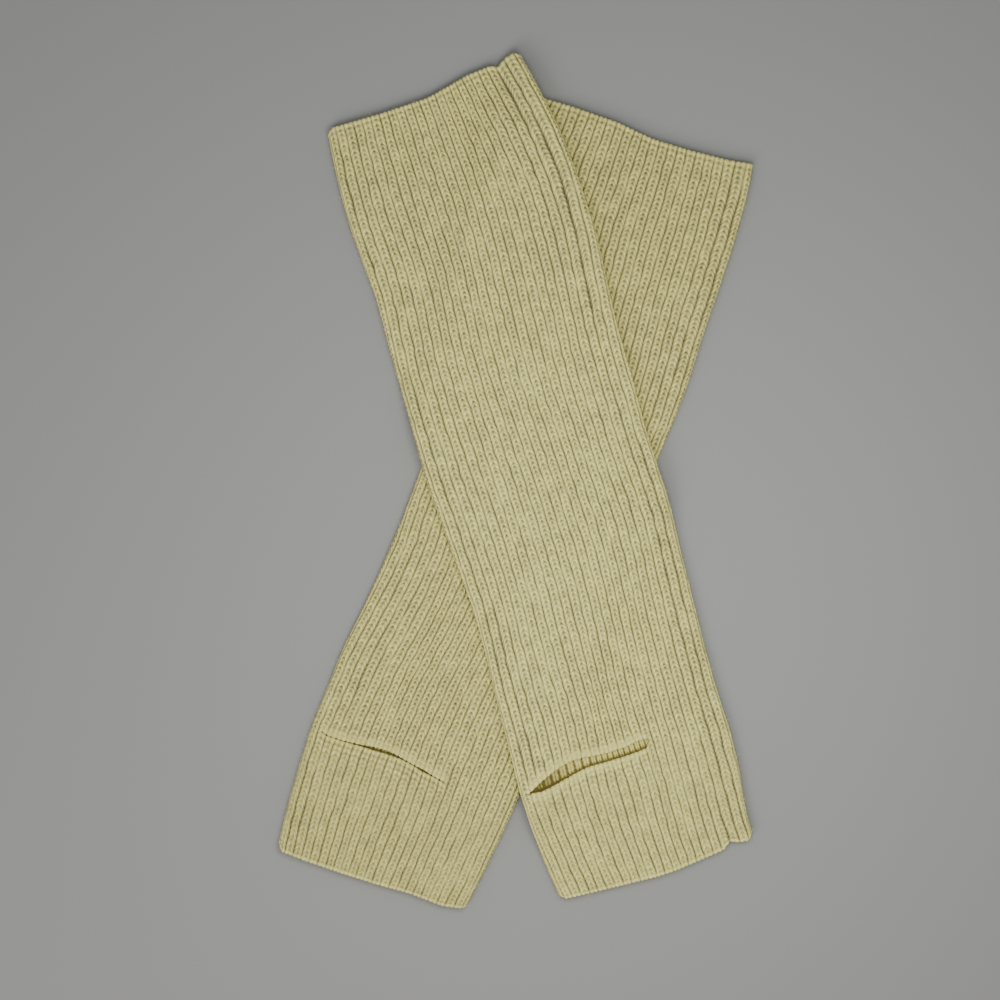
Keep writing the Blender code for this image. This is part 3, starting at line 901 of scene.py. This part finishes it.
def tube_piece(name, piece, first, last, material):
    """One stretch of a leg's tube, as a closed shell."""
    leg = LEGS[name]
    fine_ribs, plain_ribs, inner_ribs = rib_lines(leg)
    fine_courses, fine_below = course_lines(leg, first, last, COURSE_LINES)
    plain_courses, plain_below = course_lines(leg, first, last, (0.0,))
    fine_lip = upper_lip_row(leg, first, last, fine_courses)
    plain_lip = upper_lip_row(leg, first, last, plain_courses)

    fine, fine_painted_shade = cloth(name, *every_place(fine_ribs, fine_courses, fine_below), True)
    plain, plain_painted_shade = cloth(name, *every_place(plain_ribs, plain_courses, plain_below), False)
    inner = lining(name, *every_place(inner_ribs[:-1], plain_courses, plain_below))
    points = np.concatenate([part.reshape(-1, 3) for part in (fine, plain, inner)])
    lining_painted_shade = np.full(inner.shape[0] * inner.shape[1], LINING_SHADE)
    painted_shade_and_tone = np.concatenate([fine_painted_shade.ravel(), plain_painted_shade.ravel(), lining_painted_shade])

    fine = number_points(0, *fine.shape[:2], fine_lip, not_parted(leg, fine_ribs))
    plain = number_points(fine.size, *plain.shape[:2], plain_lip, not_parted(leg, plain_ribs))
    inner = number_points(fine.size + plain.size, *inner.shape[:2], plain_lip,
                          not_parted(leg, inner_ribs[:-1]))
    inner = np.concatenate([inner, inner[:, :1]], axis=1)

    quads = [grid_quads(fine, fine_lip), grid_quads(plain, plain_lip),
             grid_quads(inner, plain_lip, inward=True)]
    sides = ((fine, fine_lip), (fine_courses, fine_lip), (plain, plain_lip), (plain_courses, plain_lip))
    triangles = join_parts(*(without_lower_lip(lines, lip_row) for lines, lip_row in sides))
    for row, flip in ((0, False), (-1, True)):
        triangles.append(join_end(leg, fine[row], plain[row], inner[row], flip))
    if fine_lip is not None:
        for step, flip in ((0, True), (1, False)):
            triangles.append(join_lip(leg, fine[fine_lip + step], inner[plain_lip + step], flip))
    return add_mesh(piece, points, quads, triangles, painted_shade_and_tone, material)


def raised_lines(ribs, courses):
    """How high the back's inside is raised at each place, as a share of its relief."""
    numbers = ribs / INSIDE_RIB + INSIDE_NARROWING * np.maximum(ribs - INSIDE_TURN, 0.0)
    in_rib = abs(2.0 * (numbers % 1.0) - 1.0)
    raised = (1.0 - in_rib ** INSIDE_POWER) ** ROUNDNESS
    raised = raised - SPLIT_DEPTH * np.exp(-(in_rib / SPLIT_REACH) ** 2)
    stitches = 0.5 + 0.5 * np.cos(2 * np.pi * (courses - INSIDE_DROP * in_rib))
    return raised - INSIDE_FURROW * stitches


def layer_shape(width, places, height):
    """A layer at the given height, as wide as the leg's upper face."""
    across, _ = face_shape(width, places, np.zeros(places.shape))
    return across, height


def slab_quads(shape):
    """Quads over a slab's top, its bottom and its four sides."""
    top = np.arange(shape[0] * shape[1]).reshape(shape)
    bottom = top + top.size
    quads = [grid_quads(top, None), grid_quads(bottom, None, inward=True)]
    whole = slice(None)
    sides = (((0, whole), False), ((-1, whole), True), ((whole, 0), True), ((whole, -1), False))
    for side, flip in sides:
        pair = np.stack([top[side], bottom[side]], axis=1)
        quads.append(grid_quads(pair, None, inward=flip))
    return quads


def inside_patch(name, piece, material):
    """The back's inside where it shows through the slit: a slab with raised lines of stitches."""
    leg = LEGS[name]
    line = leg["courses_above"]
    slit_first, slit_last = leg["slit_ribs"]
    steps = INSIDE_LINES * int(slit_last - slit_first + 2)
    ribs = np.linspace(slit_first - 1, slit_last + 1, steps + 1)
    hidden = np.arange(line - INSIDE_REACH, line, HIDDEN_STEP)
    shown = np.arange(line, line + INSIDE_REACH + 0.1, INSIDE_STEP)
    courses, ribs = np.meshgrid(np.concatenate([hidden, shown]), ribs, indexing="ij")
    places = rib_places(leg, ribs, leg["length"] * courses / course_count(leg))
    along = along_leg(leg, places, ribs, courses, np.zeros(courses.shape))
    upper_lip, lower_lip = lips(leg, places)

    raised = raised_lines(ribs, courses)
    from_upper = ease((along - upper_lip + BULGE_START[0]) / BULGE_START[1])
    from_lower = ease((lower_lip - BULGE_END[0] - along) / BULGE_END[1])
    relief = INSIDE_RELIEF + INSIDE_BULGE * (from_upper * from_lower) * open_share(leg, ribs)
    height = INSIDE_BASE + INSIDE_CLEARANCE + relief * raised
    base = np.full(height.shape, INSIDE_BASE - INSIDE_THICKNESS)
    top = place_on_leg(name, along, places, lambda width: layer_shape(width, places, height))
    bottom = place_on_leg(name, along, places, lambda width: layer_shape(width, places, base))
    points = np.concatenate([top.reshape(-1, 3), bottom.reshape(-1, 3)])

    # Painted shade: in the grooves, by the left tip, and the lower lip's painted shadow.
    by_tip = 1.0 - ease((ribs - slit_first) / INSIDE_TIP_RIBS)
    by_lip = 1.0 - ease((lower_lip + INSIDE_LIP_REACH[0] - along) / INSIDE_LIP_REACH[1])
    painted_shade_and_tone = INSIDE_SHADE + INSIDE_GROOVE_SHADE * (1.0 - raised)
    painted_shade_and_tone = painted_shade_and_tone + INSIDE_TIP_SHADE * by_tip + INSIDE_LIP_SHADE * by_lip
    back = np.full(courses.size, PATCH_BACK_SHADE)
    painted_shade_and_tone = np.concatenate([np.clip(painted_shade_and_tone, 0.0, 1.0).ravel(), back])
    return add_mesh(piece, points, slab_quads(courses.shape), [], painted_shade_and_tone, material)


def fibre_roots(leg, chance):
    """Where loose fibres grow, by rib and course, and which are below the slit's line."""
    total = course_count(leg)
    line = leg["courses_above"]
    zones = [(left, right, first % total, last % total, count)
             for left, right, first, last, count in FIBRES]
    zones += [(*leg["slit_ribs"], line + first, line + last, count)
              for first, last, count in SLIT_FIBRES]
    ribs = [chance.uniform(left, right, count) for left, right, _, _, count in zones]
    courses = [chance.uniform(first, last, count) for _, _, first, last, count in zones]
    courses = np.concatenate(courses)
    return np.concatenate(ribs), courses, (courses > line).astype(float)


def fibre_faces(count):
    """The faces of so many fibres, each a row of rings that is closed at both ends."""
    start = np.arange(count)[:, None] * FIBRE_SIDES * (FIBRE_STEPS + 1)
    quads = []
    for step in range(FIBRE_STEPS):
        for corner in range(FIBRE_SIDES):
            one = FIBRE_SIDES * step + corner
            two = FIBRE_SIDES * step + (corner + 1) % FIBRE_SIDES
            quads.append(start + np.array([one, two, two + FIBRE_SIDES, one + FIBRE_SIDES]))
    ring = np.arange(FIBRE_SIDES)
    return quads, [start + ring[::-1], start + FIBRE_SIDES * FIBRE_STEPS + ring]


def unit(vectors):
    """Bring vectors to a length of 1."""
    return vectors / np.linalg.norm(vectors, axis=-1, keepdims=True)


def loose_fibres(name, piece, material):
    """Short fibres that stand off the yarn, each a thin bent tube of three sides."""
    leg = LEGS[name]
    chance = leg_chance(leg, "fibres")
    ribs, courses, below = fibre_roots(leg, chance)
    count = len(ribs)
    roots, _ = cloth(name, ribs, courses, below, True)
    right, _ = cloth(name, ribs + ASIDE_RIBS, courses, below, False)
    left, _ = cloth(name, ribs - ASIDE_RIBS, courses, below, False)
    aside = unit(right - left)
    onward = unit(leg_direction(leg))
    outward = unit(np.cross(onward, aside))
    spread = chance.uniform(*FIBRE_HEADING, (count, 3))
    heading = unit(spread[:, :1] * outward + spread[:, 1:2] * aside + spread[:, 2:] * onward)
    bend = chance.uniform(-FIBRE_BEND, FIBRE_BEND, (count, 3))
    length = chance.uniform(*FIBRE_LENGTH, (count, 1))
    side = unit(np.cross(heading, outward + FIBRE_SKEW * aside))
    other = np.cross(heading, side)

    rings = []
    for step in range(FIBRE_STEPS + 1):
        share = step / FIBRE_STEPS
        middle = roots + heading * length * (share - FIBRE_ROOT) + bend * length * share ** 2
        radius = FIBRE_RADIUS * (1.0 - FIBRE_TAPER * share)
        for corner in range(FIBRE_SIDES):
            angle = 2 * np.pi * corner / FIBRE_SIDES
            rings.append(middle + radius * (np.cos(angle) * side + np.sin(angle) * other))
    points = np.stack(rings, axis=1).reshape(-1, 3)
    points[:, 2] = np.maximum(points[:, 2], FLOOR_DROP)
    painted_shade_and_tone = np.full(len(points), FIBRE_SHADE)
    return add_mesh(piece, points, *fibre_faces(count), painted_shade_and_tone, material)


def add_mesh(piece, points, quads, triangles, painted_shade_and_tone, material):
    """Make an object from points and faces, and leave out points that no face uses."""
    quads = np.concatenate(quads)
    triangles = np.concatenate(triangles) if triangles else np.zeros((0, 3), dtype=int)
    corners = np.concatenate([quads.ravel(), triangles.ravel()])
    used, corners = np.unique(corners, return_inverse=True)
    sizes = np.concatenate([np.full(len(quads), 4), np.full(len(triangles), 3)])
    starts = np.concatenate([[0], np.cumsum(sizes)[:-1]])
    mesh = bpy.data.meshes.new(piece)
    mesh.vertices.add(len(used))
    mesh.vertices.foreach_set("co", points[used].astype(np.float32).ravel())
    mesh.loops.add(len(corners))
    mesh.loops.foreach_set("vertex_index", corners.astype(np.int32).ravel())
    mesh.polygons.add(len(sizes))
    mesh.polygons.foreach_set("loop_start", starts.astype(np.int32))
    mesh.update(calc_edges=True)
    mesh.shade_smooth()
    attribute = mesh.attributes.new("painted_shade_and_tone", "FLOAT", "POINT")
    attribute.data.foreach_set("value", painted_shade_and_tone[used].astype(np.float32))
    mesh.materials.append(material)
    made = bpy.data.objects.new(piece, mesh)
    bpy.context.scene.collection.objects.link(made)
    return made


def set_inputs(node, values):
    """Set values on a node's sockets."""
    for name, value in values.items():
        node.inputs[name].default_value = value


def add_node(nodes, kind, values, **settings):
    """Add a node with its settings, and with values on its sockets."""
    node = nodes.new(kind)
    for name, value in settings.items():
        setattr(node, name, value)
    set_inputs(node, values)
    return node


def new_material(name, values):
    """Make a material, and return it with its nodes, the way to link them, and its shader."""
    material = bpy.data.materials.new(name)
    material.use_nodes = True
    nodes = material.node_tree.nodes
    shader = nodes["Principled BSDF"]
    set_inputs(shader, values)
    return material, nodes, material.node_tree.links.new, shader


def add_bump(nodes, link, height, shader, strength, distance):
    """Raise fine relief on a surface by its shader."""
    bump = add_node(nodes, "ShaderNodeBump", {"Strength": strength, "Distance": distance})
    link(height, bump.inputs["Height"])
    link(bump.outputs["Normal"], shader.inputs["Normal"])


def yarn_material(name, kind, crest, groove):
    """Soft spun yarn whose colour carries painted shade: the crest colour on the strands, the painted
    shade colour in the grooves, with fine fibres all over.
    """
    material, nodes, link, shader = new_material(f"{name}_{kind}", {
        "Roughness": 0.92, "Specular IOR Level": 0.25, "Sheen Weight": 0.08,
        "Sheen Roughness": 0.55, "Sheen Tint": (0.95, 0.93, 0.80, 1.0)})
    # The colour darkens by the painted shade towards the painted shade colour.
    painted_shade_and_tone = add_node(nodes, "ShaderNodeAttribute", {}, attribute_name="painted_shade_and_tone")
    painted_shade_mix = add_node(nodes, "ShaderNodeMix", {"A": (*crest, 1.0), "B": (*groove, 1.0)},
                            data_type="RGBA")
    link(painted_shade_and_tone.outputs["Fac"], painted_shade_mix.inputs["Factor"])

    place = add_node(nodes, "ShaderNodeTexCoord", {})
    patches = add_node(nodes, "ShaderNodeTexNoise", {"Scale": 350.0, "Detail": 4.0})
    link(place.outputs["Object"], patches.inputs["Vector"])
    tint = add_node(nodes, "ShaderNodeMix", {"A": (*PALE_TINT, 1.0), "B": (*YELLOW_TINT, 1.0)},
                    data_type="RGBA")
    link(patches.outputs["Fac"], tint.inputs["Factor"])

    fibres = add_node(nodes, "ShaderNodeTexNoise", {"Scale": 640.0, "Detail": 4.0, "Roughness": 0.65})
    link(place.outputs["Object"], fibres.inputs["Vector"])
    fibre_range = add_node(nodes, "ShaderNodeMapRange", {
        "From Min": 0.25, "From Max": 0.75, "To Min": 0.71, "To Max": 1.31})
    link(fibres.outputs["Fac"], fibre_range.inputs["Value"])

    fleck = add_node(nodes, "ShaderNodeVectorMath", {}, operation="SCALE")
    link(tint.outputs["Result"], fleck.inputs["Vector"])
    link(fibre_range.outputs["Result"], fleck.inputs["Scale"])
    tinted = add_node(nodes, "ShaderNodeVectorMath", {}, operation="MULTIPLY")
    link(painted_shade_mix.outputs["Result"], tinted.inputs[0])
    link(fleck.outputs["Vector"], tinted.inputs[1])
    link(tinted.outputs["Vector"], shader.inputs["Base Color"])
    add_bump(nodes, link, fibres.outputs["Fac"], shader, 0.35, 0.00025)
    return material


def floor_material():
    material, nodes, link, shader = new_material(
        "pale_floor", {"Base Color": (*FLOOR_COLOUR, 1.0), "Roughness": 0.85})
    place = add_node(nodes, "ShaderNodeTexCoord", {})
    grain = add_node(nodes, "ShaderNodeTexNoise", {"Scale": 900.0})
    link(place.outputs["Object"], grain.inputs["Vector"])
    add_bump(nodes, link, grain.outputs["Fac"], shader, 0.08, 0.0003)
    return material


def add_floor():
    half = FLOOR_SIZE / 2
    mesh = bpy.data.meshes.new("floor")
    corners = [(-half, -half, 0), (half, -half, 0), (half, half, 0), (-half, half, 0)]
    mesh.from_pydata(corners, [], [(0, 1, 2, 3)])
    mesh.materials.append(floor_material())
    floor = bpy.data.objects.new("floor", mesh)
    floor.location = (0, 0, -FLOOR_DROP)
    bpy.context.scene.collection.objects.link(floor)


def add_area_light(name, place, target, size, power):
    light = bpy.data.lights.new(name, "AREA")
    light.shape = "SQUARE"
    light.size = size
    light.energy = power
    light.color = LIGHT_COLOUR
    lamp = bpy.data.objects.new(name, light)
    lamp.location = place
    lamp.rotation_euler = (Vector(target) - Vector(place)).to_track_quat("-Z", "Y").to_euler()
    bpy.context.scene.collection.objects.link(lamp)


def add_lights():
    world = bpy.data.worlds.new("studio")
    world.use_nodes = True
    sky = world.node_tree.nodes["Background"]
    set_inputs(sky, {"Color": (*SKY_COLOUR, 1.0), "Strength": SKY_STRENGTH})
    bpy.context.scene.world = world
    for row in LIGHTS:
        add_area_light(*row)


def add_camera():
    camera = bpy.data.cameras.new("camera")
    camera.sensor_width = SENSOR_WIDTH
    camera.lens = SENSOR_WIDTH * (CAMERA_HEIGHT - LEG_HEIGHT) / FRAME_WIDTH
    camera.clip_start = 0.05
    camera.clip_end = 20.0
    holder = bpy.data.objects.new("camera", camera)
    holder.location = (*FRAME_MIDDLE, CAMERA_HEIGHT)
    bpy.context.scene.collection.objects.link(holder)
    bpy.context.scene.camera = holder


def add_legs():
    materials = {name: yarn_material(name, "yarn", CREST_COLOUR[name], PAINTED_SHADE_COLOUR[name])
                 for name in LEGS}
    insides = {}
    for name in LEGS:
        # The inside patch gets a copy of the yarn darkened towards its painted shade colour.
        inside = yarn_material(name, "inside", CREST_COLOUR[name], INSIDE_PAINTED_SHADE_COLOUR)
        insides[name] = inside_patch(name, name + "_inside", inside)
    for piece, name, first, last, solids in PIECES:
        made = tube_piece(name, piece, first, last, materials[name])
        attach(made, "root")
        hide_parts(*solids)
    for name, patch in insides.items():
        fibres = loose_fibres(name, name + "_fibres", materials[name])
        for made in (patch, fibres):
            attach(made, "root")


def corners(box):
    return [list(box[0]), list(box[1])]


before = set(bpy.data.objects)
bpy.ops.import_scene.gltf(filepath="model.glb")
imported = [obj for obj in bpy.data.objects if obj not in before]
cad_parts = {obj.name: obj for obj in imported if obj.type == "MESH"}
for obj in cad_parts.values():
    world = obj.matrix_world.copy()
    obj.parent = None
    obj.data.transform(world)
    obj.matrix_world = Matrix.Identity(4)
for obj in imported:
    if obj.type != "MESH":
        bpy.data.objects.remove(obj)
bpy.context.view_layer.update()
add_legs()
add_floor()
add_lights()
add_camera()
